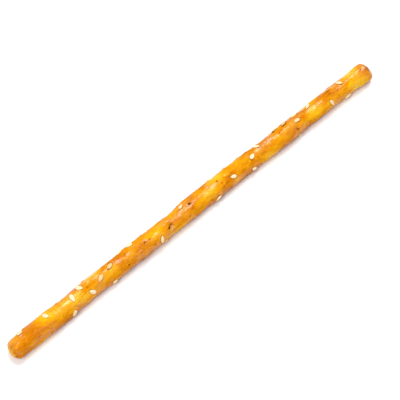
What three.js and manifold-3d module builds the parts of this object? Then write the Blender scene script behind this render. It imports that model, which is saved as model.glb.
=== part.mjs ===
// A thin, crisp bread stick with sesame: one rope of dough, dipped, seeded and baked lying on a
// flat oven band. The stick is one baked solid. Each sesame seed is a solid of its own, pressed
// into a pocket in the crust.
//
// Frame, in millimetres: +X along the stick, +Y across it, +Z up. The origin is at mid-length, on
// the flat underside that the stick was baked on and rests on.

import * as THREE from "three";
import { mergeVertices } from "three/addons/utils/BufferGeometryUtils.js";
import Module from "manifold-3d";

// The stick.
const LENGTH = 188;
const RADIUS = 3.85;
const AXIS_HEIGHT = 3.5; // the rope's axis above the underside: less than RADIUS, so the dough lies flat
const RIM_RADIUS = 2.1; // the rounding where the side turns into a cut end
const END_BULGE = 0.6; // how far the middle of a cut end stands proud of its rim
const END_SHARES = [0, 0.55]; // where the outline of a cut end has its points, inside the rim
const RIM_STEPS = 4;
const LEFT_SLANT = 0.16; // how far a cut end leans, in mm of length per mm of height
const RIGHT_SLANT = -0.12;
const SLANT_REACH = 9; // the stretch over which a leaning end fades into the straight stick
const STATION_STEP = 3; // distance between rings of the solid
const SIDES = 28;

// How a hand-rolled rope strays from a straight cylinder: [size, wavelength, phase] in mm and radians.
const SWAY = [
  [0.32, 212, 1.45],
  [0.16, 61, 0.4],
  [0.07, 27, 2.2],
];
const SWELL = [
  [0.11, 43, 0.9],
  [0.08, 24.5, 2.6],
  [0.05, 13.7, 4.1],
];
const OVAL = 0.1; // the rope is a little oval, and the oval turns along its length
const OVAL_TURN = 96; // length of one full turn of the oval
const LOBE = 0.055; // a slight third lobe, turning the other way
const LOBE_TURN = -70;

// A sesame seed.
const SEED = { length: 3.05, width: 1.85, thickness: 1 };
const SEED_POINT = 0.72; // under 1, the widest place moves towards the blunt end
const SEED_FULL = 0.7; // under 1, the outline is fuller than a sine
const SEED_SIDES = 10;
const SEED_STEPS = 6;
const SEED_SUNK = 0.37; // the share of its thickness that lies below the crust
const SEED_PRESSED = 1.06; // the same for a seed that the oven band pressed into the underside
const SEED_TILT = 9; // how far seeds lean out of the crust's plane, in degrees
const SEED_GAP = 0.15; // clearance between a seed and its pocket

// Seeds on the upper side: [distance from the left end, angle round the stick, heading, size].
// The angle starts at +Y and turns towards +Z. A heading of 0 lies along the stick.
const UPPER_SEEDS = [
  [6.8, 52, 15, 0.95],
  [17.9, 76, -70, 1],
  [29.7, 94, 84, 1.05],
  [34.2, 74, 128, 1],
  [37.2, 140, 132, 1.04],
  [42.6, 109, 28, 1.06],
  [48.2, 88, 204, 1.05],
  [55.4, 40, 10, 1],
  [59.6, 56, 168, 0.95],
  [71.3, 152, 65, 0.98],
  [85.4, 68, 20, 0.84],
  [102.5, 38, -35, 0.97],
  [109.8, 128, 160, 0.9],
  [121.4, 101, 22, 1.05],
  [125.8, 66, -48, 0.96],
  [136.6, 44, 200, 1.02],
  [141.2, 58, 24, 1],
  [145.9, 97, 172, 0.92],
  [147.4, 46, -12, 1.02],
  [154.3, 62, 30, 1],
  [163.6, 146, 105, 0.95],
  [171.9, 74, 118, 1.04],
];

// Seeds on the two flanks: a loop spreads them along the stick, by turns on one flank and the other.
const FLANK_SEEDS = {
  count: 14,
  first: 13,
  step: 12.1,
  stray: 2.6, // how far a seed strays from its step
  near: 194, // mean angle on the -Y flank
  far: -14, // mean angle on the +Y flank
  spread: 15,
  turn: 57, // from one heading to the next, in degrees
};

// Seeds caught between the dough and the oven band.
const UNDER_SEEDS = [
  [46.5, 270, 12, 0.98, SEED_PRESSED],
  [101.8, 266, -8, 1, SEED_PRESSED],
  [149.2, 273, 171, 0.95, SEED_PRESSED],
];

const degrees = THREE.MathUtils.degToRad;

function waves(terms, x) {
  let sum = 0;
  for (const [size, length, phase] of terms) {
    sum += size * Math.sin((2 * Math.PI * x) / length + phase);
  }
  return sum;
}

// The rope's radius at station x and angle a.
function ropeRadius(x, a) {
  const oval = OVAL * Math.cos(2 * a - (2 * Math.PI * x) / OVAL_TURN);
  const lobe = LOBE * Math.cos(3 * a - (2 * Math.PI * x) / LOBE_TURN);
  return RADIUS + waves(SWELL, x) + oval + lobe;
}

// A point on the rope, scaled towards its axis by share, and lifted to the underside's plane.
function ropePoint(x, a, share = 1) {
  const r = ropeRadius(x, a) * share;
  const y = waves(SWAY, x) + r * Math.cos(a);
  const z = AXIS_HEIGHT + r * Math.sin(a);
  return new THREE.Vector3(leanEnds(x, z), y, Math.max(z, 0));
}

// The two cut ends lean a little, each its own way.
function leanEnds(x, z) {
  const fromLeft = Math.max(0, 1 - (x + LENGTH / 2) / SLANT_REACH);
  const fromRight = Math.max(0, 1 - (LENGTH / 2 - x) / SLANT_REACH);
  return x + (z - AXIS_HEIGHT) * (LEFT_SLANT * fromLeft + RIGHT_SLANT * fromRight);
}

// Half the rope's outline from the middle of one end to the full radius: [distance in, share of radius].
function endOutline() {
  const flat = 1 - RIM_RADIUS / RADIUS;
  const points = END_SHARES.map((share) => [END_BULGE * share ** 2, flat * share]);
  for (let i = 0; i <= RIM_STEPS; i++) {
    const turn = (i / RIM_STEPS) * (Math.PI / 2);
    const inward = END_BULGE + RIM_RADIUS * (1 - Math.cos(turn));
    points.push([inward, flat + (1 - flat) * Math.sin(turn)]);
  }
  return points;
}

// The outline is turned into a lathe about +Y, and the lathe's points are then moved onto the rope.
function stickGeometry() {
  const end = endOutline();
  const left = end.map(([inward, share]) => new THREE.Vector2(share, -LENGTH / 2 + inward));
  const right = end.map(([inward, share]) => new THREE.Vector2(share, LENGTH / 2 - inward)).reverse();
  const from = left.at(-1).y;
  const to = right[0].y;
  const rings = Math.round((to - from) / STATION_STEP);
  const middle = [];
  for (let i = 1; i < rings; i++) {
    middle.push(new THREE.Vector2(1, from + ((to - from) * i) / rings));
  }
  const geometry = new THREE.LatheGeometry([...left, ...middle, ...right], SIDES);
  const place = geometry.getAttribute("position");
  for (let i = 0; i < place.count; i++) {
    const share = Math.hypot(place.getX(i), place.getZ(i));
    const angle = Math.atan2(place.getX(i), place.getZ(i));
    const point = ropePoint(place.getY(i), angle, share);
    place.setXYZ(i, point.x, point.y, point.z);
  }
  return geometry;
}

// A flat teardrop, blunt at -X and pointed at +X, lying in the XY plane.
function seedGeometry(size, grow = 0) {
  const outline = [];
  for (let i = 0; i <= SEED_STEPS; i++) {
    const along = (1 - Math.cos((Math.PI * i) / SEED_STEPS)) / 2;
    const wide = i % SEED_STEPS ? Math.sin(Math.PI * along ** SEED_POINT) ** SEED_FULL : 0;
    outline.push(new THREE.Vector2(wide / 2, along - 0.5));
  }
  const geometry = new THREE.LatheGeometry(outline, SEED_SIDES);
  geometry.rotateZ(-Math.PI / 2);
  const across = SEED.width * size + 2 * grow;
  return geometry.scale(SEED.length * size + 2 * grow, across, SEED.thickness * size + 2 * grow);
}

// Where a seed lies: its middle near the crust, its flat side along the crust, turned by its heading.
function seedPlace([fromLeft, around, heading, size, sunk = SEED_SUNK]) {
  const x = fromLeft - LENGTH / 2;
  const a = degrees(around);
  const outward = new THREE.Vector3(0, Math.cos(a), Math.sin(a));
  const along = new THREE.Vector3(1, 0, 0);
  const across = new THREE.Vector3().crossVectors(outward, along);
  const lift = (0.5 - sunk) * SEED.thickness * size;
  const tilt = sunk < 1 ? SEED_TILT * Math.sin(fromLeft) : 0;
  const place = new THREE.Matrix4().makeBasis(along, across, outward);
  place.multiply(new THREE.Matrix4().makeRotationZ(degrees(heading)));
  place.multiply(new THREE.Matrix4().makeRotationY(degrees(tilt)));
  return place.setPosition(ropePoint(x, a).addScaledVector(outward, lift));
}

function flankSeeds() {
  const rows = [];
  for (let i = 0; i < FLANK_SEEDS.count; i++) {
    const wander = Math.sin(7.3 * i + 1.1);
    const fromLeft = FLANK_SEEDS.first + FLANK_SEEDS.step * i + FLANK_SEEDS.stray * wander;
    const mean = i % 2 ? FLANK_SEEDS.near : FLANK_SEEDS.far;
    const around = mean + FLANK_SEEDS.spread * Math.sin(4.1 * i);
    rows.push([fromLeft, around, FLANK_SEEDS.turn * i, 0.96 + 0.08 * wander]);
  }
  return rows;
}

const wasm = await Module();
wasm.setup();

function toSolid(geometry) {
  const bare = geometry.clone().deleteAttribute("normal").deleteAttribute("uv");
  const merged = mergeVertices(bare, 1e-4);
  const vertProperties = merged.attributes.position.array;
  const triVerts = new Uint32Array(merged.index.array);
  return new wasm.Manifold(new wasm.Mesh({ numProp: 3, vertProperties, triVerts }));
}

function toGeometry(solid) {
  const mesh = solid.getMesh();
  const geometry = new THREE.BufferGeometry();
  geometry.setAttribute("position", new THREE.BufferAttribute(mesh.vertProperties, 3));
  geometry.setIndex(new THREE.BufferAttribute(mesh.triVerts, 1));
  return geometry;
}

const crust = new THREE.MeshStandardMaterial({ color: 0xe8a021, roughness: 0.38, metalness: 0 });
const sesame = new THREE.MeshStandardMaterial({ color: 0xf4e6c0, roughness: 0.5, metalness: 0 });

const breadStick = new THREE.Group();
const seedRows = [...UPPER_SEEDS, ...flankSeeds(), ...UNDER_SEEDS];

let baked = toSolid(stickGeometry());
for (const row of seedRows) {
  const pocket = seedGeometry(row[3], SEED_GAP).applyMatrix4(seedPlace(row));
  baked = baked.subtract(toSolid(pocket));
}
const stick = new THREE.Mesh(toGeometry(baked), crust);
stick.name = "baked_stick";
breadStick.add(stick);

seedRows.forEach((row, i) => {
  const seed = new THREE.Mesh(seedGeometry(row[3]), sesame);
  seed.name = "sesame_seed_" + String(i + 1).padStart(2, "0");
  seed.applyMatrix4(seedPlace(row));
  breadStick.add(seed);
});

export default breadStick;
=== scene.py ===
"""A thin, crisp bread stick with sesame: its glazed crust, its seeds and a plain pale stage.

Everything is in the solid model's own frame: +X along the stick, +Z up, the underside at height 0.
Shapes are worked out in millimetres and turned into metres as they are put into a mesh.
"""

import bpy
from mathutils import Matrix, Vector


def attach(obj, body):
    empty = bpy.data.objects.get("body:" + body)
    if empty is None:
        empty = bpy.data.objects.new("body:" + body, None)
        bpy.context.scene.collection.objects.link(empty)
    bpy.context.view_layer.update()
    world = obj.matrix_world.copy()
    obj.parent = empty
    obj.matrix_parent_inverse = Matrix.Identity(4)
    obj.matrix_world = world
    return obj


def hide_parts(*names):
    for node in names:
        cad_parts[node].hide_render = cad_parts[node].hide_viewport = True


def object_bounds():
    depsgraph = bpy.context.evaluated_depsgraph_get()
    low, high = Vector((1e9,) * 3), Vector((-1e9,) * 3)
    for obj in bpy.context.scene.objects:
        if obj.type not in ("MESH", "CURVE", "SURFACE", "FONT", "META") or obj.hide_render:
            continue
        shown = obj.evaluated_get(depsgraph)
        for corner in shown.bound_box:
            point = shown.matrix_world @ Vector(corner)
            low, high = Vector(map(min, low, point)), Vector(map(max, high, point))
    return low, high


bl_info = {
    "name": "Sesame Bread Stick",
    "version": (1, 0, 0),
    "blender": (4, 5, 0),
    "location": "3D View > Sidebar > Bread Stick",
    "description": "Builds the crust and the sesame seeds of a thin baked bread stick",
    "category": "Object",
}

import math
import random
from types import SimpleNamespace

import bmesh
import bpy
import numpy as np
from bpy.props import FloatProperty, FloatVectorProperty, IntProperty, PointerProperty
from mathutils import Vector, noise

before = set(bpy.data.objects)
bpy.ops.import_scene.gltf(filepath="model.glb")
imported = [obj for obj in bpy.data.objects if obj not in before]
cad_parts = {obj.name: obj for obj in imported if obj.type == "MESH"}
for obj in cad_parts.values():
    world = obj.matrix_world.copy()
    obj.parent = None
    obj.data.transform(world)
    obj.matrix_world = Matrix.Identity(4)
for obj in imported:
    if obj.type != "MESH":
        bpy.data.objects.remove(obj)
CAD_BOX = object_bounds()

MM = 0.001
FULL_TURN = 2 * math.pi
STICK = "baked_stick"
SEEDS = sorted(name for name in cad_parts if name.startswith("sesame_seed_"))

# The rope of dough: the same measures as the solid's.
LENGTH = 188
RADIUS = 3.85
AXIS_HEIGHT = 3.5
RIM_RADIUS = 2.1
END_BULGE = 0.6
LEFT_SLANT = 0.16
RIGHT_SLANT = -0.12
SLANT_REACH = 9
SWAY = [(0.32, 212, 1.45), (0.16, 61, 0.4), (0.07, 27, 2.2)]
SWELL = [(0.11, 43, 0.9), (0.08, 24.5, 2.6), (0.05, 13.7, 4.1)]
OVAL = 0.1
OVAL_TURN = 96
LOBE = 0.055
LOBE_TURN = -70

# A sesame seed: its outline is the same as the solid's.
SEED_POINT = 0.72
SEED_FULL = 0.7
SEED_ALONG = 24  # rings of the seed's skin, from tip to tip
SEED_AROUND = 32
SEED_FIT = 0.96  # its thickness without its veins, as a share of the solid's
SEED_MARGIN = 0.72  # where the raised margin runs, as a share of the seed's half width
SEED_BEND = 0.05  # how far a seed's middle bows sideways at most, in mm
SEED_WAVE = 0.03  # height of the waves in its faces, in mm
SEED_WAVE_GRAIN = (0.9, 0.7, 0.7)
SEED_TOAST = (0.02, 0.5)  # the least, and how much more the most toasted seed has
TIP_TOAST = 0.34
# The margin's toast is partly painted shade round the seed's edge.
MARGIN_TOAST_AND_PAINTED_SHADE = 0.24
KEEL_TOAST = 0.12
WAVE_TOAST = 0.14

# The fine skin over the rope.
ALONG = 870  # rings of the skin, from one end's middle to the other's
AROUND = 104
OUTLINE_POINTS = 24  # points of the outline over a cut end's face, and again over its rounding
UV_ROWS = 3  # rows that the unrolled skin is laid out in
UV_GAP = 0.006  # left free between two rows

# What the two random draws start from.
CRUST_DRAW = 20
SEEDS_DRAW = 7

# The noises in the crust's shape: grain along x, y and z in mm, octaves, and a shift of its own.
NOISES = {
    "lumps": ((7, 4, 4), 3, 3.1),
    "small lumps": ((3.5, 1.8, 1.8), 3, 71.7),
    "ridges": ((16, 1.9, 1.9), 3, 11.7),
    "folds": ((9, 1.3, 1.3), 2, 23.9),
    "where it folds": ((13, 4, 4), 2, 41.3),
    "ragged": ((0.8, 0.8, 0.8), 2, 5.5),
    "rim folds": ((0.55, 0.55, 5), 3, 7.7),
    "uneven": ((1.2, 1.2, 1.2), 3, 91.3),
    "face lumps": ((0.9, 0.9, 0.9), 2, 61.1),
    "face pores": ((0.8, 0.8, 0.8), 1, 33.7),
    "flake": ((0.7, 0.7, 0.7), 3, 15.5),
    "band": ((1.1, 1.1, 1.1), 3, 83.3),
}

# What rolling and baking leave in the crust, in mm. Two values are the least and the most.
ROLL_TURN = 150  # the stretch over which the rolled dough winds once round
SMALL_LUMPS = 0.5  # their height, as a share of the slow lumps'
RIDGES = 0.45  # their height, as a share of the creases' depth
CREASE_WIDTH = 0.07  # in the noise's own measure
END_MARGIN = 3  # random features keep this far from the ends
BLISTER_RADIUS = (0.34, 1.4)
BLISTER_STRETCH = (1, 1.7)  # length for width
BLISTER_HEIGHT = (0.3, 1)  # share of the full height
TALL_FROM = 0.8  # a blister with a smaller radius is lower
PIT_RADIUS = (0.17, 0.5)
PIT_STRETCH = (1, 1.6)
PIT_DEPTH = (0.5, 1)  # share of the full depth
CRACK_REACH = (1.2, 3.2)
CRACK_GAPE = (0.13, 0.22)
CRACK_BEND = (-0.12, 0.12)
SCAR_COUNT = 6
SCAR_HALVES = (1.35, 0.85)  # half its length, half its width
SCAR_DEPTH = 0.24
SCAR_LIP = 0.06
SEED_REACH = 3.2  # a seed's bed and lip lie within this of its middle
SEED_BACK = 2  # points deeper than this under a seed are on the stick's other side
BED_DEPTH = 0.46
BED_LIP = 0.09

# The cut ends, in mm. Reaches are measured over the skin, from the middle of the end's face.
FACE_REACH = (1.8, 2.6)  # the face fades out between these
FACE_DEPTH = 0.12
FACE_LUMPS = 0.2
RIM_REACH = 2.9
RIM_WIDTH = 0.5
FOLD_RING = 1.4  # the folds in a rim are read on a ring of this radius
PINCH_LEAN = 0.5  # radians that the pinched fold in a face leans
HOLE_DEPTH = 0.22
RIGHT_END = (LENGTH / 2 - 9, LENGTH / 2 - 2)  # its browning comes in between these stations
LEFT_END = (LENGTH / 2 - 22, LENGTH / 2 - 6)  # the same, counted towards the left
FLAKE_PLACE = (LENGTH / 2 - 1.6, math.radians(140))  # station and angle
FLAKE_HALVES = (0.7, 1.1)  # half its size along the stick, and round it
FLAKE_DEPTH = 0.2

# How much browner each feature makes the plain crust: below 0, paler. Most of it is from baking, and the
# entries that name painted shade are painted shade. Two values are the least and the most.
BROWNER = {
    "crease": 0.1,
    "between ridges": 0.08,
    "blister": (-0.08, 0.15),
    "pit": (0.25, 0.8),
    "pit lip": 0.1,
    "crack": 0.42,
    "painted shade at seed lip": 0.16,
    "round a seed": -0.3,
    "scar lip": 0.26,
    "low flank, partly painted shade": 0.08,
    "underside": 0.16,
    "underside patches": 0.24,
    "rim": 0.36,
    "face": 0.04,
    "hole": 0.14,
    "near an end": 0.05,
    "right end": 0.16,
    "left end": -0.2,
    "flake lip": 0.14,
}

# Oven colours: the colour before goes over to this one between two degrees of browning.
BROWNING_STEPS = [("Gold", 0, 0.3), ("Amber", 0.3, 0.62), ("Brown", 0.62, 1)]

# The crust's fine grains: size in metres, and how far each is drawn out along the stick.
GRAINS = {
    "slow": (0.007, 2.2),
    "mottle": (0.0024, 2.4),
    "fine": (0.0007, 1.5),
    "pores": (0.00028, 1.2),
    "licks": (0.0042, 2.6),
}
# How they brown the crust: grain, its output, that output's low and high, and the browning there.
GRAIN_BROWNING = [
    ("slow", "Height", 0.38, 0.7, -0.24, 0.42),
    ("mottle", "Height", 0.3, 0.7, -0.1, 0.14),
    ("fine", "Height", 0.3, 0.7, -0.12, 0.12),
    ("pores", "Hollows", 0, 1, -0.03, 0.1),
]
# Relief too fine for the mesh: grain, strength, and height in metres.
GRAIN_RELIEF = [("pores", 0.7, 0.00015), ("fine", 0.6, 0.0004), ("mottle", 0.6, 0.0008)]
SEED_GRAIN = 0.0004  # size of the grain in a seed's surface, in metres
SEED_PATCHES = 0.0013  # size of the patches of toast on it

# The glaze shines in licks, on the tops of the coarse grain of that name: that grain's height from low
# to high, and the roughness there.
LICK_TOPS = (0.58, 0.68)
LICK_ROUGHNESS = (0.52, 0.24)
GLAZE_TOPS = (0.59, 0.67)
HOLLOW_ROUGHNESS = 0.12  # added in the fine grain's hollows
DULL_ROUGHNESS = 0.4  # added where the crust is dull
CRUST_SHINE = {"Coat Roughness": 0.24, "Coat IOR": 1.5, "IOR": 1.22, "Specular IOR Level": 0.15}

# The floor: half its width in metres, and how far it lies under the stick.
FLOOR_HALF = 2.5
FLOOR_DROP = 0.02 * MM

# The soft lights: diameter and distance in metres, and the way from the stick to each.
LIGHTS = {
    "key": (1.12, 2.0, Vector((-0.55, -0.2, 1.0))),
    "glow": (0.95, 1.75, Vector((0.36, 0.265, 0.894))),
}


# ---------------------------------------------------------------- settings


def length_setting(name, description, default_mm):
    return FloatProperty(
        name=name, description=description, default=default_mm * MM, min=0, unit="LENGTH", precision=5
    )


def share_setting(name, description, default):
    return FloatProperty(
        name=name, description=description, default=default, min=0, max=1, subtype="FACTOR"
    )


def light_setting(name, description, default):
    return FloatProperty(name=name, description=description, default=default, min=0)


def colour_setting(name, description, default):
    return FloatVectorProperty(
        name=name, description=description, default=default, size=3, min=0, max=1, subtype="COLOR"
    )


class CrustSettings(bpy.types.PropertyGroup):
    lumps: length_setting("Lumps", "Height of the slow lumps left by rolling the dough", 0.16)
    wrinkles: length_setting("Wrinkles", "Depth of the lengthwise creases in the skin", 0.13)
    blisters: length_setting("Blisters", "Height of the small bubbles under the skin", 0.17)
    blister_count: IntProperty(name="Blister count", description="How many bubbles", default=900, min=0)
    pits: length_setting("Pits", "Depth of the burst bubbles", 0.24)
    pit_count: IntProperty(name="Pit count", description="How many burst bubbles", default=46, min=0)
    cracks: length_setting("Cracks", "Depth of the short cracks", 0.2)
    crack_count: IntProperty(name="Crack count", description="How many cracks", default=8, min=0)
    pale: colour_setting("Pale", "Least baked crust", (0.84, 0.465, 0.01))
    gold: colour_setting("Gold", "Well baked crust", (0.79, 0.322, 0.003))
    amber: colour_setting("Amber", "Darker crust, by the ends and the underside", (0.6, 0.172, 0.002))
    brown: colour_setting("Brown", "Rims and burst bubbles", (0.11, 0.026, 0.003))
    crumb: colour_setting("Crumb", "Open crumb, where the crust has flaked", (0.8, 0.5, 0.15))
    sheen: colour_setting("Sheen", "Tint of the crust's own shine", (1.0, 0.8, 0.35))
    gloss: share_setting("Glaze", "Strength of the glaze", 0.85)


class SeedSettings(bpy.types.PropertyGroup):
    veins: length_setting("Veins", "Height of a seed's keel and margin", 0.025)
    hull: colour_setting("Hull", "A plain seed", (0.84, 0.66, 0.37))
    ivory: colour_setting("Ivory", "A seed's middle", (0.88, 0.76, 0.52))
    toast: colour_setting("Toast", "A toasted seed", (0.76, 0.5, 0.19))
    scorch: colour_setting("Scorch", "The tip of a well toasted seed", (0.42, 0.2, 0.06))


class StageSettings(bpy.types.PropertyGroup):
    azimuth: FloatProperty(
        name="Azimuth",
        description="Where the camera stands round the stick",
        default=math.radians(-43.1),
        subtype="ANGLE",
    )
    elevation: FloatProperty(
        name="Elevation",
        description="The camera's height above the horizon",
        default=math.radians(58),
        subtype="ANGLE",
    )
    lens: FloatProperty(name="Lens", description="Focal length in mm", default=120, min=10)
    frame_width: length_setting("Frame width", "What the picture spans at the stick", 154)
    floor: colour_setting("Floor", "The pale floor", (0.9, 0.9, 0.91))
    sky: light_setting("Sky", "Strength of the even light all round", 0.42)
    key: light_setting("Key", "Power of the soft light on the camera's side, in watts", 22.5)
    glow: light_setting("Glow", "Power of the soft light behind the stick, in watts", 21)


class StickSettings(bpy.types.PropertyGroup):
    crust: PointerProperty(type=CrustSettings)
    seeds: PointerProperty(type=SeedSettings)
    stage: PointerProperty(type=StageSettings)


# ---------------------------------------------------------------- the rope of dough


def waves(terms, x):
    return sum(size * np.sin(FULL_TURN * x / length + phase) for size, length, phase in terms)


def rope_radius(x, angle):
    oval = OVAL * np.cos(2 * angle - FULL_TURN * x / OVAL_TURN)
    lobe = LOBE * np.cos(3 * angle - FULL_TURN * x / LOBE_TURN)
    return RADIUS + waves(SWELL, x) + oval + lobe


def rope_points(x, angle, share):
    """Points of the rope at station x and angle, drawn in towards its axis by share."""
    r = rope_radius(x, angle) * share
    y = waves(SWAY, x) + r * np.cos(angle)
    z = AXIS_HEIGHT + r * np.sin(angle)
    from_left = np.clip(1 - (x + LENGTH / 2) / SLANT_REACH, 0, None)
    from_right = np.clip(1 - (LENGTH / 2 - x) / SLANT_REACH, 0, None)
    lean = (z - AXIS_HEIGHT) * (LEFT_SLANT * from_left + RIGHT_SLANT * from_right)
    return np.stack([x + lean, y, np.maximum(z, 0)], 1)


def rope_outline():
    """The rope's outline from one end's middle to the other's: length over it, station, share of radius."""
    flat = 1 - RIM_RADIUS / RADIUS
    out = np.linspace(0, 1, OUTLINE_POINTS)
    turn = np.linspace(0, math.pi / 2, OUTLINE_POINTS)
    inward = np.concatenate([END_BULGE * out**2, END_BULGE + RIM_RADIUS * (1 - np.cos(turn[1:]))])
    share = np.concatenate([flat * out, flat + (1 - flat) * np.sin(turn[1:])])
    x = np.concatenate([inward - LENGTH / 2, LENGTH / 2 - inward[::-1]])
    share = np.concatenate([share, share[::-1]])
    steps = np.hypot(np.diff(x), np.diff(share) * RADIUS)
    return np.concatenate([[0], np.cumsum(steps)]), x, share


# ---------------------------------------------------------------- sesame seeds in the solid model


def seed_place(node):
    """Where the solid model has a seed: its middle and half sizes in mm, and its own three directions.

    The seed's two tips are its farthest points from each other, and the blunt one lies nearer to its
    widest place. Outward is its thin direction, away from the stick's axis.
    """
    points = np.unique(read_points(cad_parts[node].data).round(4), axis=0)
    apart = np.linalg.norm(points[:, None] - points[None], axis=2)
    first, second = np.unravel_index(apart.argmax(), apart.shape)
    middle = (points[first] + points[second]) / 2
    along = (points[second] - points[first]) / apart.max()
    offset = points - middle
    beside = offset - np.outer(offset @ along, along)
    widest = np.linalg.norm(beside, axis=1).argmax()
    if offset[widest] @ along > 0:
        along = -along
    across = beside[widest] / np.linalg.norm(beside[widest])
    outward = np.cross(along, across)
    if outward @ (middle - [middle[0], 0, AXIS_HEIGHT]) < 0:
        outward = -outward
        across = -across
    halves = [np.abs(offset @ way).max() for way in (along, across, outward)]
    return SimpleNamespace(
        node=node, middle=middle, along=along, across=across, outward=outward, halves=np.array(halves)
    )


# ---------------------------------------------------------------- tools for skins


def read_points(mesh):
    """A mesh's points in mm."""
    flat = np.empty(len(mesh.vertices) * 3, np.float32)
    mesh.vertices.foreach_get("co", flat)
    return flat.reshape(-1, 3).astype(float) / MM


def write_points(mesh, points):
    mesh.vertices.foreach_set("co", (points * MM).astype(np.float32).ravel())
    mesh.update()


def read_normals(mesh):
    flat = np.empty(len(mesh.vertices) * 3, np.float32)
    mesh.vertices.foreach_get("normal", flat)
    return flat.reshape(-1, 3).astype(float)


def new_ball(name, around, along):
    """A ball's mesh, with every point's turn from the lowest point and its angle round the axis."""
    bm = bmesh.new()
    bmesh.ops.create_uvsphere(bm, u_segments=around, v_segments=along, radius=1)
    mesh = bpy.data.meshes.new(name)
    bm.to_mesh(mesh)
    bm.free()
    x, y, z = read_points(mesh).T
    return mesh, np.arctan2(np.hypot(x, y), -z), np.arctan2(y, x)


def write_mask(mesh, name, values):
    """Stores a value from 0 to 1 on every point, for the material to read."""
    mask = mesh.attributes.new(name, "FLOAT", "POINT")
    mask.data.foreach_set("value", np.clip(values, 0, 1).astype(np.float32))


def noise_over(points, size, octaves, shift):
    """Smooth noise of about -1 to 1 over points in mm. size is its grain along x, y and z, in mm."""
    scaled = points / np.array(size, float) + shift
    return np.array([noise.fractal(point, 1.0, 2.0, octaves) for point in scaled.tolist()])


def step_up(values, low, high):
    """0 below low, 1 above high, and smooth between them."""
    t = np.clip((values - low) / (high - low), 0, 1)
    return t * t * (3 - 2 * t)


def bell(values, middle, width):
    return np.exp(-(((values - middle) / width) ** 2))


# ---------------------------------------------------------------- the crust's skin


def bare_skin():
    """A closed skin of even quads on the rope, with what the steps below read and write at every point.

    They read the station x, the angle, the way over the skin from the nearest end's middle and a ragged
    noise. They write the height over the rope in mm, and how browned, crumbly and dull the crust is.
    """
    mesh, turn, angle = new_ball("crust", AROUND, ALONG)
    ring = np.rint(turn / math.pi * ALONG).astype(int)
    column = np.rint(angle / FULL_TURN * AROUND).astype(int) % AROUND
    lengths, stations, shares = rope_outline()
    along = ring / ALONG * lengths[-1]
    x = np.interp(along, lengths, stations)
    share = np.interp(along, lengths, shares)
    points = rope_points(x, angle, share)
    write_points(mesh, points)
    from_end = np.minimum(along, lengths[-1] - along)
    return SimpleNamespace(
        mesh=mesh, points=points, normals=read_normals(mesh), ring=ring, column=column,
        x=x, angle=angle, from_end=from_end, ragged=noise_over(points, *NOISES["ragged"]),
        height=np.zeros(len(x)), browned=np.zeros(len(x)), crumb=np.zeros(len(x)), dull=np.zeros(len(x)),
    )


def unroll(skin):
    """Lays the skin out flat in rows, each with an equal stretch of the stick, for baking its colours."""
    mesh = skin.mesh
    corner = np.empty(len(mesh.loops), np.int32)
    mesh.loops.foreach_get("vertex_index", corner)
    first = np.empty(len(mesh.polygons), np.int32)
    mesh.polygons.foreach_get("loop_start", first)
    count = np.diff(np.append(first, len(corner)))
    ring = skin.ring[corner].astype(float)
    column = skin.column[corner].astype(float)
    tip = (ring == 0) | (ring == ALONG)
    highest = np.repeat(np.maximum.reduceat(np.where(tip, -1, column), first), count)
    column[(highest - column > AROUND / 2)] = AROUND
    column_sum = np.add.reduceat(np.where(tip, 0, column), first)
    body_count = np.add.reduceat((~tip).astype(int), first)
    mean = np.repeat(column_sum / body_count, count)
    column[tip] = mean[tip]
    row_length = ALONG / UV_ROWS
    row = np.repeat(np.floor(np.minimum.reduceat(ring, first) / row_length), count)
    u = ring / row_length - row
    v = (row + column / AROUND * (1 - UV_GAP * UV_ROWS)) / UV_ROWS
    layer = mesh.uv_layers.new(name="OFBake")
    layer.uv.foreach_set("vector", np.stack([u, v], 1).astype(np.float32).ravel())


def twisted(skin):
    """The skin's points with the stick's roll undone, so that a pattern on them winds round the stick."""
    turn = FULL_TURN * skin.x / ROLL_TURN
    x, y, z = skin.points.T
    z = z - AXIS_HEIGHT
    return np.stack([x, y * np.cos(turn) - z * np.sin(turn), y * np.sin(turn) + z * np.cos(turn)], 1)


def away_from(skin, x, angle):
    """Distances along the stick and round it from a place on the skin, in mm."""
    round_it = np.mod(skin.angle - angle + math.pi, FULL_TURN) - math.pi
    return skin.x - x, round_it * RADIUS


def random_places(draw, count, least=0, most=1):
    """Places on the skin, each with a radius from least to most. Most are small."""
    reach = LENGTH / 2 - END_MARGIN
    for _ in range(count):
        x = draw.uniform(-reach, reach)
        angle = draw.uniform(-math.pi, math.pi)
        yield x, angle, least + (most - least) * draw.random() ** 2


def roll_dough(skin, crust):
    """Slow lumps, winding ridges and creases left by rolling and stretching the dough."""
    lumps = noise_over(skin.points, *NOISES["lumps"])
    small_lumps = noise_over(skin.points, *NOISES["small lumps"])
    rolled = twisted(skin)
    ridges = noise_over(rolled, *NOISES["ridges"])
    folds = noise_over(rolled, *NOISES["folds"])
    folded = step_up(noise_over(skin.points, *NOISES["where it folds"]), -0.1, 0.35)
    crease = bell(folds, 0, CREASE_WIDTH) * folded
    skin.height += crust.lumps / MM * (lumps + SMALL_LUMPS * small_lumps)
    skin.height += crust.wrinkles / MM * (RIDGES * ridges - crease)
    skin.browned += BROWNER["crease"] * crease + BROWNER["between ridges"] * np.clip(-ridges, 0, 1)


def raise_blisters(skin, crust, draw):
    """Small bubbles under the skin. Their tops bake first."""
    for x, angle, radius in random_places(draw, crust.blister_count, *BLISTER_RADIUS):
        along, around = away_from(skin, x, angle)
        distance = np.hypot(along / draw.uniform(*BLISTER_STRETCH), around) / radius
        distance = distance * (1 + 0.3 * skin.ragged)
        dome = np.clip(1 - distance**2, 0, 1) ** 1.5
        tall = crust.blisters / MM * draw.uniform(*BLISTER_HEIGHT) * min(1, radius / TALL_FROM)
        skin.height += tall * dome
        skin.browned += draw.uniform(*BROWNER["blister"]) * dome


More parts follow.
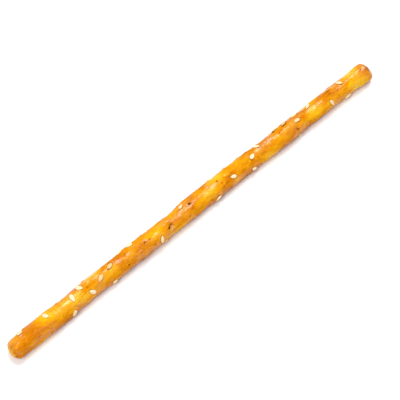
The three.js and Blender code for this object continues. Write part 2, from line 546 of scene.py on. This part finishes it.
def burst_bubbles(skin, crust, draw):
    """Pits where a bubble burst, with a thin raised lip and a dark floor."""
    for x, angle, radius in random_places(draw, crust.pit_count, *PIT_RADIUS):
        along, around = away_from(skin, x, angle)
        distance = np.hypot(along / draw.uniform(*PIT_STRETCH), around) / radius
        distance = distance * (1 + 0.35 * skin.ragged)
        floor = 1 - step_up(distance, 0.55, 1.15)
        deep = crust.pits / MM * draw.uniform(*PIT_DEPTH)
        skin.height += 0.2 * deep * bell(distance, 1.3, 0.3) - deep * floor
        skin.browned += draw.uniform(*BROWNER["pit"]) * floor
        skin.browned += BROWNER["pit lip"] * bell(distance, 1.3, 0.35)
        skin.dull += floor


def open_cracks(skin, crust, draw):
    """Short fine splits in the skin, wandering along the stick."""
    for x, angle, _ in random_places(draw, crust.crack_count):
        heading = draw.gauss(0, 0.3)
        reach = draw.uniform(*CRACK_REACH)
        bend = draw.uniform(*CRACK_BEND)
        along, around = away_from(skin, x, angle)
        forward = along * math.cos(heading) + around * math.sin(heading)
        aside = around * math.cos(heading) - along * math.sin(heading) - bend * forward**2
        aside = aside + 0.22 * skin.ragged
        taper = np.sqrt(np.clip(1 - (forward / reach) ** 2, 0, 1))
        gape = draw.uniform(*CRACK_GAPE)
        cut = bell(aside, 0, gape) * taper
        lips = bell(np.abs(aside), gape * 2.4, 0.2) * taper
        skin.height += crust.cracks / MM * (0.2 * lips - cut)
        skin.browned += BROWNER["crack"] * cut
        skin.dull += cut


def teardrop(forward, aside):
    """Distance from the middle of a teardrop that narrows forward: 1 on its outline."""
    return np.hypot(forward, aside / np.clip(1 - 0.3 * forward, 0.4, 1.4))


def press_seeds(skin):
    """A bed under each seed, a risen lip against it darkened with painted contact shade, and paler crust
    round it, where the seed shaded it in the oven.
    """
    for seed in map(seed_place, SEEDS):
        offset = skin.points - seed.middle
        near = np.abs(offset).max(1) < SEED_REACH
        offset = offset[near]
        long, wide, _ = seed.halves
        forward = offset @ seed.along / long
        aside = offset @ seed.across / wide
        behind = offset @ seed.outward < -SEED_BACK
        distance = np.where(behind, np.inf, teardrop(forward, aside)) * (1 + 0.05 * skin.ragged[near])
        under = 1 - step_up(distance, 0.72, 1.0)
        lip = bell(distance, 1.18, 0.16)
        skin.height[near] = skin.height[near] * (1 - under) + BED_LIP * lip - BED_DEPTH * under
        # Painted contact shade: the crust right against each seed is darker.
        skin.browned[near] += BROWNER["painted shade at seed lip"] * lip
        skin.browned[near] += BROWNER["round a seed"] * bell(distance, 1.5, 0.3)
        skin.browned[near] *= 1 - under


def lose_seeds(skin, draw):
    """Shallow teardrop scars where a seed has come off, with pale dough inside."""
    long, wide = SCAR_HALVES
    for x, angle, _ in random_places(draw, SCAR_COUNT):
        heading = draw.uniform(0, math.pi)
        along, around = away_from(skin, x, angle)
        forward = (along * math.cos(heading) + around * math.sin(heading)) / long
        aside = (around * math.cos(heading) - along * math.sin(heading)) / wide
        distance = teardrop(forward, aside) * (1 + 0.08 * skin.ragged)
        floor = 1 - step_up(distance, 0.75, 1.05)
        skin.height += SCAR_LIP * bell(distance, 1.2, 0.16) - SCAR_DEPTH * floor
        skin.crumb += 0.4 * floor
        skin.browned += BROWNER["scar lip"] * bell(distance, 1.08, 0.12)
        skin.dull += floor


def shape_ends(skin):
    """Cut ends, swollen round in the oven: a thin browned rim round a face with a few small holes.

    The right end is browner than the rest of the stick, and the left end is paler. The left face gets more
    pale crumb than the right: a painted highlight.
    """
    ring = np.stack([FOLD_RING * np.cos(skin.angle), FOLD_RING * np.sin(skin.angle), skin.x], 1)
    folds = noise_over(ring, *NOISES["rim folds"])
    uneven = noise_over(skin.points, *NOISES["uneven"])
    rim = bell(skin.from_end + 0.7 * folds, RIM_REACH, RIM_WIDTH) * np.clip(0.65 + uneven, 0, 1)
    face = 1 - step_up(skin.from_end + 0.5 * folds + 0.5 * uneven, *FACE_REACH)
    face_lumps = noise_over(skin.points, *NOISES["face lumps"])
    face_pores = noise_over(skin.points, *NOISES["face pores"])
    skin.height += 0.1 * bell(skin.from_end, 4.2, 1.8) * folds - 0.08 * rim
    skin.height += face * (FACE_LUMPS * face_lumps - FACE_DEPTH)

    # A pinched fold crosses the middle of each face, leaning its own way.
    side = np.sign(skin.x)
    y = skin.points[:, 1] - waves(SWAY, skin.x)
    z = skin.points[:, 2] - AXIS_HEIGHT
    across = y * np.cos(PINCH_LEAN * side) + z * np.sin(PINCH_LEAN * side) + 0.5 * uneven
    pinch = 0.6 * bell(across, 0.25, 0.2) * (1 - step_up(skin.from_end, 0.9, 1.9))
    holes = np.maximum(pinch, step_up(face_pores, 0.24, 0.46) * face)
    skin.height -= HOLE_DEPTH * holes

    right = step_up(skin.x, *RIGHT_END)
    left = step_up(-skin.x, *LEFT_END)
    skin.browned += BROWNER["rim"] * rim + BROWNER["face"] * face + BROWNER["hole"] * holes
    skin.browned += BROWNER["near an end"] * bell(skin.from_end, 3.4, 3.4)
    skin.browned += BROWNER["right end"] * right * (1 - 0.7 * face) + BROWNER["left end"] * left
    # Pale crumb in the cut faces. The extra crumb on the left face is a painted highlight.
    skin.crumb += (0.6 - 0.15 * side) * face * (1 - holes) * step_up(-face_lumps, -0.3, 0.3)
    skin.dull += 0.8 * face + 0.5 * rim
    flake_off(skin, *FLAKE_PLACE)


def flake_off(skin, x, angle):
    """A flake of crust broken off a rim, with the pale crumb showing."""
    along, around = away_from(skin, x, angle)
    long, wide = FLAKE_HALVES
    ragged = noise_over(skin.points, *NOISES["flake"])
    distance = np.hypot(along / long, around / wide) * (1 + 0.7 * ragged)
    flake = 1 - step_up(distance, 0.7, 1.05)
    skin.height -= FLAKE_DEPTH * flake
    skin.crumb += 0.8 * flake
    skin.browned *= 1 - 0.5 * flake
    skin.browned += BROWNER["flake lip"] * bell(distance, 1.12, 0.14)
    skin.dull += flake


def bake_on_band(skin):
    """The underside lay on the oven band: flat, dull and darker. The flanks near the floor are darker too,
    partly from the band and partly as painted shade.
    """
    height = skin.points[:, 2]
    under = 1 - step_up(height, 0.02, 0.5)
    low = 1 - step_up(height, 0.8, 6)
    band = noise_over(skin.points, *NOISES["band"])
    skin.height -= under * (0.06 + 0.09 * band)
    # Painted shade, with some real browning from the band: the crust darkens towards the floor.
    skin.browned += BROWNER["low flank, partly painted shade"] * low
    skin.browned += under * (BROWNER["underside"] + BROWNER["underside patches"] * band)
    skin.dull += under + 0.6 * low


def make_crust(crust):
    """The crust's mesh. Each step adds to the skin's height and to its masks."""
    draw = random.Random(CRUST_DRAW)
    skin = bare_skin()
    roll_dough(skin, crust)
    raise_blisters(skin, crust, draw)
    burst_bubbles(skin, crust, draw)
    open_cracks(skin, crust, draw)
    lose_seeds(skin, draw)
    bake_on_band(skin)
    shape_ends(skin)
    press_seeds(skin)
    points = skin.points + skin.normals * skin.height[:, None]
    points[:, 2] = np.maximum(points[:, 2], 0)
    write_points(skin.mesh, points)
    # The browned mask also holds painted shade on the flanks near the floor and round the seeds.
    for name in ("browned", "crumb", "dull"):
        write_mask(skin.mesh, name, getattr(skin, name))
    unroll(skin)
    return skin.mesh


# ---------------------------------------------------------------- sesame seeds


def make_seed(place, seeds, draw):
    """One seed: a flat teardrop with a raised margin, a faint keel, and its own slight bend and toast."""
    mesh, turn, angle = new_ball(place.node, SEED_AROUND, SEED_ALONG)
    along = (1 - np.cos(turn)) / 2
    wide = np.clip(np.sin(math.pi * along**SEED_POINT), 0, 1) ** SEED_FULL
    long_half, wide_half, thin_half = place.halves
    x = (2 * along - 1) * long_half
    y = wide * np.cos(angle) * wide_half
    z = wide**0.9 * np.sin(angle) * thin_half * SEED_FIT
    out = np.abs(np.cos(angle)) * wide
    top = np.sign(np.sin(angle))
    veins = bell(out, SEED_MARGIN, 0.1) + 0.8 * bell(np.cos(angle), 0, 0.16) - 0.4
    z += top * seeds.veins / MM * wide * veins
    bend = draw.uniform(-SEED_BEND, SEED_BEND)
    y += bend * (1 - (x / long_half) ** 2)
    wave = noise_over(np.stack([x, y, z], 1), SEED_WAVE_GRAIN, 2, draw.uniform(0, 90))
    z += SEED_WAVE * wave * top * wide
    local = np.stack([x, y, z], 1)
    ways = np.stack([place.along, place.across, place.outward])
    write_points(mesh, place.middle + local @ ways)
    tip = step_up(along, 0.72, 1)
    # Toast and painted edge shade: the seed darkens towards its margin.
    margin = step_up(out, 0.6, 1)
    keel = bell(np.cos(angle), 0, 0.12) * wide
    least, more = SEED_TOAST
    toast = least + more * draw.random() ** 2
    toast = toast + TIP_TOAST * tip + MARGIN_TOAST_AND_PAINTED_SHADE * margin + KEEL_TOAST * keel + WAVE_TOAST * wave
    write_mask(mesh, "browned", toast)
    return mesh


# ---------------------------------------------------------------- shader nodes


def feed(tree, socket, value):
    """Wires an input to another node's output, or gives it a value."""
    if isinstance(value, bpy.types.NodeSocket):
        tree.links.new(value, socket)
    else:
        socket.default_value = value


def put(tree, kind, **settings):
    """Adds a node. A setting that names one of its inputs, with _ for a space, feeds that input."""
    made = tree.nodes.new(kind)
    for name, value in settings.items():
        if hasattr(made, name):
            setattr(made, name, value)
        else:
            feed(tree, made.inputs[name.replace("_", " ")], value)
    return made


def reckon(tree, operation, first, second, clamp=False):
    """A Math node's result."""
    made = tree.nodes.new("ShaderNodeMath")
    made.operation = operation
    made.use_clamp = clamp
    for socket, value in zip(made.inputs, (first, second)):
        feed(tree, socket, value)
    return made.outputs[0]


def spread(tree, value, low, high, to_low=0, to_high=1):
    """value from low to high, laid out from to_low to to_high and held at both ends."""
    ends = {"From_Min": low, "From_Max": high, "To_Min": to_low, "To_Max": to_high}
    return put(tree, "ShaderNodeMapRange", Value=value, **ends).outputs["Result"]


def mix_colours(tree, factor, first, second):
    made = tree.nodes.new("ShaderNodeMix")
    made.data_type = "RGBA"
    sockets = {socket.identifier: socket for socket in made.inputs}
    for name, value in (("Factor_Float", factor), ("A_Color", first), ("B_Color", second)):
        feed(tree, sockets[name], value)
    return next(socket for socket in made.outputs if socket.identifier == "Result_Color")


def new_group(name, inputs, outputs):
    """A shader node group and its inner ends. inputs and outputs are (name, socket type, default) rows."""
    tree = bpy.data.node_groups.new(name, "ShaderNodeTree")
    for way, rows in (("INPUT", inputs), ("OUTPUT", outputs)):
        for label, kind, default in rows:
            socket = tree.interface.new_socket(label, in_out=way, socket_type=kind)
            if default is not None:
                socket.default_value = default
    return tree, tree.nodes.new("NodeGroupInput").outputs, tree.nodes.new("NodeGroupOutput").inputs


def browning_group():
    """Oven colour: from pale through gold and amber to brown as browning goes from 0 to 1."""
    grey = (0.5, 0.5, 0.5, 1)
    rows = [("Browning", "NodeSocketFloat", 0.3)]
    rows += [(name, "NodeSocketColor", grey) for name in ("Pale", "Gold", "Amber", "Brown")]
    tree, given, result = new_group("oven_browning", rows, [("Color", "NodeSocketColor", None)])
    colour = given["Pale"]
    for name, low, high in BROWNING_STEPS:
        colour = mix_colours(tree, spread(tree, given["Browning"], low, high), colour, given[name])
    tree.links.new(colour, result["Color"])
    return tree


def grain_group():
    """Fine grain at a given size in metres: a height for bumps, and a mask of its hollows."""
    rows = [("Size", "NodeSocketFloat", 0.001), ("Stretch", "NodeSocketFloat", 1.0)]
    out = [("Height", "NodeSocketFloat", None), ("Hollows", "NodeSocketFloat", None)]
    tree, given, result = new_group("fine_grain", rows, out)
    place = tree.nodes.new("ShaderNodeTexCoord").outputs["Object"]
    parts = put(tree, "ShaderNodeSeparateXYZ", Vector=place).outputs
    drawn = reckon(tree, "DIVIDE", parts["X"], given["Stretch"])
    place = put(tree, "ShaderNodeCombineXYZ", X=drawn, Y=parts["Y"], Z=parts["Z"]).outputs[0]
    scale = reckon(tree, "DIVIDE", 1.0, given["Size"])
    soft = put(tree, "ShaderNodeTexNoise", Vector=place, Scale=scale, Detail=4.0, Roughness=0.6)
    cells = put(tree, "ShaderNodeTexVoronoi", Vector=place, Scale=scale)
    dimple = spread(tree, cells.outputs["Distance"], 0, 0.45)
    soft_part = reckon(tree, "MULTIPLY", soft.outputs[0], 0.7)
    height = reckon(tree, "ADD", soft_part, reckon(tree, "MULTIPLY", dimple, 0.3))
    tree.links.new(height, result["Height"])
    tree.links.new(spread(tree, height, 0.35, 0.6, 1, 0), result["Hollows"])
    return tree


def with_alpha(colour):
    return (*colour, 1.0)


def group_node(tree, group, **values):
    made = tree.nodes.new("ShaderNodeGroup")
    made.node_tree = group
    for name, value in values.items():
        feed(tree, made.inputs[name], value)
    return made.outputs


def shared_group(name, build):
    return bpy.data.node_groups.get(name) or build()


def new_material(name):
    material = bpy.data.materials.new(name)
    material.use_nodes = True
    tree = material.node_tree
    return material, tree, tree.nodes["Principled BSDF"]


def crust_material(crust):
    """Glazed baked dough: mottled gold, browner where it baked harder and where shade is painted in, dull
    where the crust is broken.
    """
    material, tree, shader = new_material("glazed_crust")
    grain = shared_group("fine_grain", grain_group)
    browning = shared_group("oven_browning", browning_group)
    browned = put(tree, "ShaderNodeAttribute", attribute_name="browned").outputs["Fac"]
    crumb_seen = put(tree, "ShaderNodeAttribute", attribute_name="crumb").outputs["Fac"]
    dull = put(tree, "ShaderNodeAttribute", attribute_name="dull").outputs["Fac"]

    grains = {}
    for name, (size, stretch) in GRAINS.items():
        grains[name] = group_node(tree, grain, Size=size, Stretch=stretch)

    amount = browned
    for name, output, *span in GRAIN_BROWNING:
        amount = reckon(tree, "ADD", amount, spread(tree, grains[name][output], *span))
    colours = {
        "Pale": with_alpha(crust.pale),
        "Gold": with_alpha(crust.gold),
        "Amber": with_alpha(crust.amber),
        "Brown": with_alpha(crust.brown),
    }
    skin = group_node(tree, browning, Browning=amount, **colours)["Color"]
    hollows = grains["fine"]["Hollows"]
    crumb = mix_colours(tree, hollows, with_alpha(crust.crumb), with_alpha(crust.amber))
    tree.links.new(mix_colours(tree, crumb_seen, skin, crumb), shader.inputs["Base Color"])

    # Licks of glaze are smooth and coated, and the crust between them is rough and bare.
    licks = grains["licks"]["Height"]
    rough = spread(tree, licks, *LICK_TOPS, *LICK_ROUGHNESS)
    rough = reckon(tree, "ADD", rough, reckon(tree, "MULTIPLY", hollows, HOLLOW_ROUGHNESS))
    rough = reckon(tree, "ADD", rough, reckon(tree, "MULTIPLY", dull, DULL_ROUGHNESS), clamp=True)
    tree.links.new(rough, shader.inputs["Roughness"])
    licked = spread(tree, licks, *GLAZE_TOPS, 0, crust.gloss)
    tree.links.new(reckon(tree, "SUBTRACT", licked, dull, clamp=True), shader.inputs["Coat Weight"])
    for name, value in CRUST_SHINE.items():
        shader.inputs[name].default_value = value
    shader.inputs["Specular Tint"].default_value = with_alpha(crust.sheen)

    normal = None
    for name, strength, distance in GRAIN_RELIEF:
        height = grains[name]["Height"]
        bump = put(tree, "ShaderNodeBump", Height=height, Strength=strength, Distance=distance)
        if normal:
            tree.links.new(normal, bump.inputs["Normal"])
        normal = bump.outputs["Normal"]
    tree.links.new(normal, shader.inputs["Normal"])
    return material


def seed_material(seeds):
    """Hulled sesame: ivory and silky, tanned towards the tip, and darker at the margin from toast and
    painted edge shade.
    """
    material, tree, shader = new_material("sesame_hull")
    grain = shared_group("fine_grain", grain_group)
    browning = shared_group("oven_browning", browning_group)
    browned = put(tree, "ShaderNodeAttribute", attribute_name="browned").outputs["Fac"]
    fine = group_node(tree, grain, Size=SEED_GRAIN, Stretch=1.0)
    patches = group_node(tree, grain, Size=SEED_PATCHES, Stretch=1.0)
    amount = reckon(tree, "ADD", browned, spread(tree, patches["Height"], 0.3, 0.7, -0.1, 0.16))
    colours = {
        "Pale": with_alpha(seeds.ivory),
        "Gold": with_alpha(seeds.hull),
        "Amber": with_alpha(seeds.toast),
        "Brown": with_alpha(seeds.scorch),
    }
    colour = group_node(tree, browning, Browning=amount, **colours)["Color"]
    tree.links.new(colour, shader.inputs["Base Color"])
    tree.links.new(spread(tree, fine["Height"], 0.3, 0.7, 0.34, 0.52), shader.inputs["Roughness"])
    bump = put(tree, "ShaderNodeBump", Height=fine["Height"], Strength=0.4, Distance=0.00004)
    tree.links.new(bump.outputs["Normal"], shader.inputs["Normal"])
    return material


def floor_material(stage):
    material, _, shader = new_material("pale_floor")
    shader.inputs["Base Color"].default_value = with_alpha(stage.floor)
    shader.inputs["Roughness"].default_value = 0.9
    shader.inputs["Specular IOR Level"].default_value = 0.0
    return material


# ---------------------------------------------------------------- operators


def add_piece(name, mesh, material, node):
    """Shows a finished mesh in place of a node of the solid model."""
    mesh.materials.append(material)
    mesh.polygons.foreach_set("use_smooth", np.ones(len(mesh.polygons), bool))
    mesh.update()
    piece = bpy.data.objects.new(name, mesh)
    bpy.context.scene.collection.objects.link(piece)
    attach(piece, "root")
    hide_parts(node)


class BREADSTICK_OT_bake_crust(bpy.types.Operator):
    """Build the stick's crust, with its wrinkles, blisters, cracks, browned ends and beds for the seeds"""

    bl_idname = "bread_stick.bake_crust"
    bl_label = "Bake Crust"

    def execute(self, context):
        crust = context.scene.bread_stick.crust
        add_piece("crust", make_crust(crust), crust_material(crust), STICK)
        return {"FINISHED"}


class BREADSTICK_OT_set_seeds(bpy.types.Operator):
    """Build the sesame seeds, each where the solid model has one"""

    bl_idname = "bread_stick.set_seeds"
    bl_label = "Set Sesame Seeds"

    def execute(self, context):
        seeds = context.scene.bread_stick.seeds
        if not SEEDS:
            raise RuntimeError("the solid model has no sesame seeds")
        material = seed_material(seeds)
        draw = random.Random(SEEDS_DRAW)
        for node in SEEDS:
            mesh = make_seed(seed_place(node), seeds, draw)
            add_piece(node.replace("sesame_seed", "sesame"), mesh, material, node)
        return {"FINISHED"}


class BREADSTICK_OT_set_stage(bpy.types.Operator):
    """Lay the pale floor, hang the soft lights and place the camera"""

    bl_idname = "bread_stick.set_stage"
    bl_label = "Set Stage"

    def execute(self, context):
        stage = context.scene.bread_stick.stage
        self.lay_floor(stage)
        self.hang_lights(context.scene, stage)
        self.place_camera(context.scene, stage)
        context.scene.view_settings.view_transform = "Standard"
        return {"FINISHED"}

    def lay_floor(self, stage):
        bm = bmesh.new()
        bmesh.ops.create_grid(bm, x_segments=1, y_segments=1, size=FLOOR_HALF)
        bmesh.ops.translate(bm, verts=bm.verts, vec=(0, 0, -FLOOR_DROP))
        mesh = bpy.data.meshes.new("floor")
        bm.to_mesh(mesh)
        bm.free()
        mesh.materials.append(floor_material(stage))
        floor = bpy.data.objects.new("floor", mesh)
        bpy.context.scene.collection.objects.link(floor)

    def hang_lights(self, scene, stage):
        world = bpy.data.worlds.new("even_light")
        world.use_nodes = True
        background = world.node_tree.nodes["Background"]
        background.inputs["Color"].default_value = (1, 1, 1, 1)
        background.inputs["Strength"].default_value = stage.sky
        scene.world = world
        for name, power in (("key", stage.key), ("glow", stage.glow)):
            self.add_light(name, power, *LIGHTS[name])

    def add_light(self, name, power, size, distance, way):
        light = bpy.data.lights.new(name, "AREA")
        light.energy = power
        light.shape = "DISK"
        light.size = size
        lamp = bpy.data.objects.new(name, light)
        lamp.location = way.normalized() * distance
        lamp.rotation_euler = way.to_track_quat("Z", "Y").to_euler()
        bpy.context.scene.collection.objects.link(lamp)

    def place_camera(self, scene, stage):
        low, high = CAD_BOX
        middle = (low + high) / 2
        flat = math.cos(stage.elevation)
        back = Vector(
            (math.sin(stage.azimuth) * flat, -math.cos(stage.azimuth) * flat, math.sin(stage.elevation))
        )
        camera = bpy.data.cameras.new("camera")
        camera.lens = stage.lens
        camera.clip_start = 0.01
        viewer = bpy.data.objects.new("camera", camera)
        viewer.location = middle + back * (stage.frame_width * camera.lens / camera.sensor_width)
        viewer.rotation_euler = back.to_track_quat("Z", "Y").to_euler()
        scene.collection.objects.link(viewer)
        scene.camera = viewer


OPERATORS = (BREADSTICK_OT_bake_crust, BREADSTICK_OT_set_seeds, BREADSTICK_OT_set_stage)


class BREADSTICK_PT_sidebar(bpy.types.Panel):
    """The stick's settings and the steps that build it"""

    bl_idname = "BREADSTICK_PT_sidebar"
    bl_label = "Bread Stick"
    bl_space_type = "VIEW_3D"
    bl_region_type = "UI"
    bl_category = "Bread Stick"

    def draw(self, context):
        settings = context.scene.bread_stick
        for part, operator in zip((settings.crust, settings.seeds, settings.stage), OPERATORS):
            box = self.layout.box()
            for name in part.__annotations__:
                box.prop(part, name)
            box.operator(operator.bl_idname)


CLASSES = (CrustSettings, SeedSettings, StageSettings, StickSettings, *OPERATORS, BREADSTICK_PT_sidebar)


def register():
    for cls in CLASSES:
        bpy.utils.register_class(cls)
    bpy.types.Scene.bread_stick = PointerProperty(type=StickSettings)


def unregister():
    del bpy.types.Scene.bread_stick
    for cls in reversed(CLASSES):
        bpy.utils.unregister_class(cls)


def main():
    register()
    bpy.ops.bread_stick.bake_crust()
    bpy.ops.bread_stick.set_seeds()
    bpy.ops.bread_stick.set_stage()


if __name__ == "__main__":
    main()
